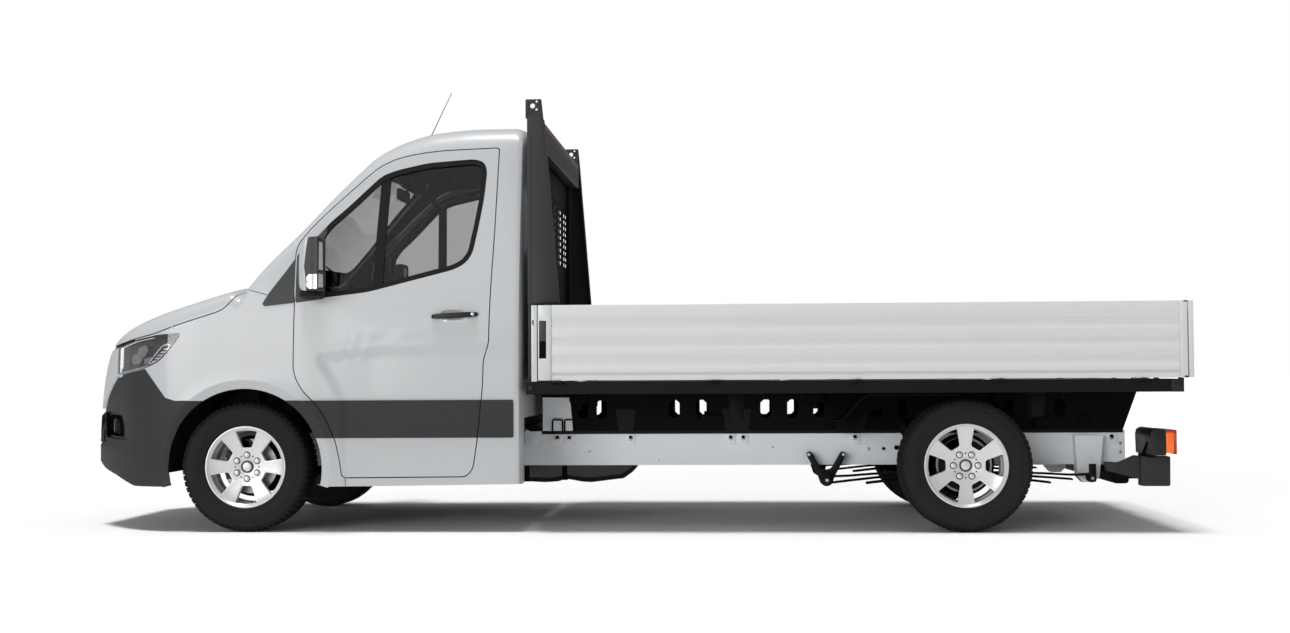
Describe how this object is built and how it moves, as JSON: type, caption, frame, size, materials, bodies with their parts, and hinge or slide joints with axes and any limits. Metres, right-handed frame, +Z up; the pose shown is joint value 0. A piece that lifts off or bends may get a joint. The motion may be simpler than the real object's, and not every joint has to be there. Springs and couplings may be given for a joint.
{
  "type": "chassis cab truck",
  "caption": "Single-cab light truck with a ladder chassis and a low dropside bed; doors, bonnet, boards, steering and wheels move",
  "frame": {"origin": "On the ground below the middle of the truck's bounding box", "axes": "+X from the front bumper to the tailboard, +Y to the truck's right side, +Z up"},
  "size_m": [6.1161, 2.345, 2.5319],
  "materials": {
    "cab_paint": "white gloss paint",
    "dark_plastic": "grained dark plastic",
    "glass": "clear glass",
    "lamp_lens": "clear lamp lens",
    "red_lens": "red lamp lens",
    "frame_paint": "grey frame paint",
    "black_steel": "black satin paint",
    "bed_aluminium": "anodised boards",
    "bed_floor": "coated plywood floor",
    "seat_cloth": "dark woven cloth",
    "cast_iron": "bare cast metal",
    "alloy": "silver painted alloy",
    "tyre": "black rubber"
  },
  "bodies": {
    "chassis": {"cab_body": "cab_paint", "front_bumper": "dark_plastic", "grille": "dark_plastic", "cowl_panel": "dark_plastic", "windscreen": "glass", "rear_window": "glass", "antenna": "dark_plastic", "cab_floor": "dark_plastic", "dashboard": "dark_plastic", "driver_seat": "seat_cloth", "passenger_seat": "seat_cloth", "front_cradle": "black_steel", "engine_block": "cast_iron", "driveshaft": "black_steel", "rear_axle": "black_steel", "chassis_frame": "frame_paint", "subframe": "black_steel", "bed_floor": "bed_floor", "bed_rail": "black_steel", "headboard": "black_steel", "fuel_tank": "dark_plastic", "underrun_bar": "black_steel", "fender_left": "cab_paint", "headlamp_left": "lamp_lens", "leaf_spring_left": "black_steel", "stake_left": "bed_aluminium", "tail_lamp_left": "red_lens", "fender_right": "cab_paint", "headlamp_right": "lamp_lens", "leaf_spring_right": "black_steel", "stake_right": "bed_aluminium", "tail_lamp_right": "red_lens"},
    "bonnet": {"bonnet": "cab_paint"},
    "tail_board": {"tail_board": "bed_aluminium"},
    "steering_wheel": {"steering_wheel": "dark_plastic"},
    "door_left": {"door_left": "cab_paint", "door_glass_left": "glass", "mirror_left": "dark_plastic"},
    "side_board_left": {"side_board_left": "bed_aluminium"},
    "knuckle_left": {"knuckle_left": "cast_iron"},
    "wheel_front_left": {"tyre_front_left": "tyre", "rim_front_left": "alloy"},
    "wheel_rear_left": {"tyre_rear_left": "tyre", "rim_rear_left": "alloy"},
    "door_right": {"door_right": "cab_paint", "door_glass_right": "glass", "mirror_right": "dark_plastic"},
    "side_board_right": {"side_board_right": "bed_aluminium"},
    "knuckle_right": {"knuckle_right": "cast_iron"},
    "wheel_front_right": {"tyre_front_right": "tyre", "rim_front_right": "alloy"},
    "wheel_rear_right": {"tyre_rear_right": "tyre", "rim_rear_right": "alloy"}
  },
  "joints": [
    {"name": "steer_left", "type": "hinge", "parent": "chassis", "child": "knuckle_left", "pos_m": [-2.05425, -0.83, 0.356], "axis": [0, 0, 1], "range_deg": [-36, 36]},
    {"name": "wheel_front_left_spin", "type": "hinge", "parent": "knuckle_left", "child": "wheel_front_left", "pos_m": [-2.05425, -0.866, 0.356], "axis": [0, 1, 0], "continuous": true},
    {"name": "wheel_rear_left_spin", "type": "hinge", "parent": "chassis", "child": "wheel_rear_left", "pos_m": [1.86975, -0.866, 0.356], "axis": [0, 1, 0], "continuous": true},
    {"name": "door_left_hinge", "type": "hinge", "parent": "chassis", "child": "door_left", "pos_m": [-1.79225, -1.006, 1.1], "axis": [0, 0, -1], "range_deg": [0, 65]},
    {"name": "side_board_left_hinge", "type": "hinge", "parent": "chassis", "child": "side_board_left", "pos_m": [1.29775, -1.062, 0.815], "axis": [1, 0, 0], "range_deg": [0, 180]},
    {"name": "steer_right", "type": "hinge", "parent": "chassis", "child": "knuckle_right", "pos_m": [-2.05425, 0.83, 0.356], "axis": [0, 0, 1], "range_deg": [-36, 36]},
    {"name": "wheel_front_right_spin", "type": "hinge", "parent": "knuckle_right", "child": "wheel_front_right", "pos_m": [-2.05425, 0.866, 0.356], "axis": [0, 1, 0], "continuous": true},
    {"name": "wheel_rear_right_spin", "type": "hinge", "parent": "chassis", "child": "wheel_rear_right", "pos_m": [1.86975, 0.866, 0.356], "axis": [0, 1, 0], "continuous": true},
    {"name": "door_right_hinge", "type": "hinge", "parent": "chassis", "child": "door_right", "pos_m": [-1.79225, 1.006, 1.1], "axis": [0, 0, 1], "range_deg": [0, 65]},
    {"name": "side_board_right_hinge", "type": "hinge", "parent": "chassis", "child": "side_board_right", "pos_m": [1.29775, 1.062, 0.815], "axis": [-1, 0, 0], "range_deg": [0, 180]},
    {"name": "bonnet_hinge", "type": "hinge", "parent": "chassis", "child": "bonnet", "pos_m": [-2.09325, 0, 1.402], "axis": [0, 1, 0], "range_deg": [0, 55]},
    {"name": "tail_board_hinge", "type": "hinge", "parent": "chassis", "child": "tail_board", "pos_m": [3.05075, 0, 0.815], "axis": [0, 1, 0], "range_deg": [0, 180]},
    {"name": "steering_wheel_turn", "type": "hinge", "parent": "chassis", "child": "steering_wheel", "pos_m": [-1.42001, -0.42, 1.11718], "axis": [0.8021, 0, 0.5972], "range_deg": [-540, 540]}
  ],
  "couplings": [
    {"joint": "steer_right", "follows": "steer_left", "ratio": 1}
  ]
}
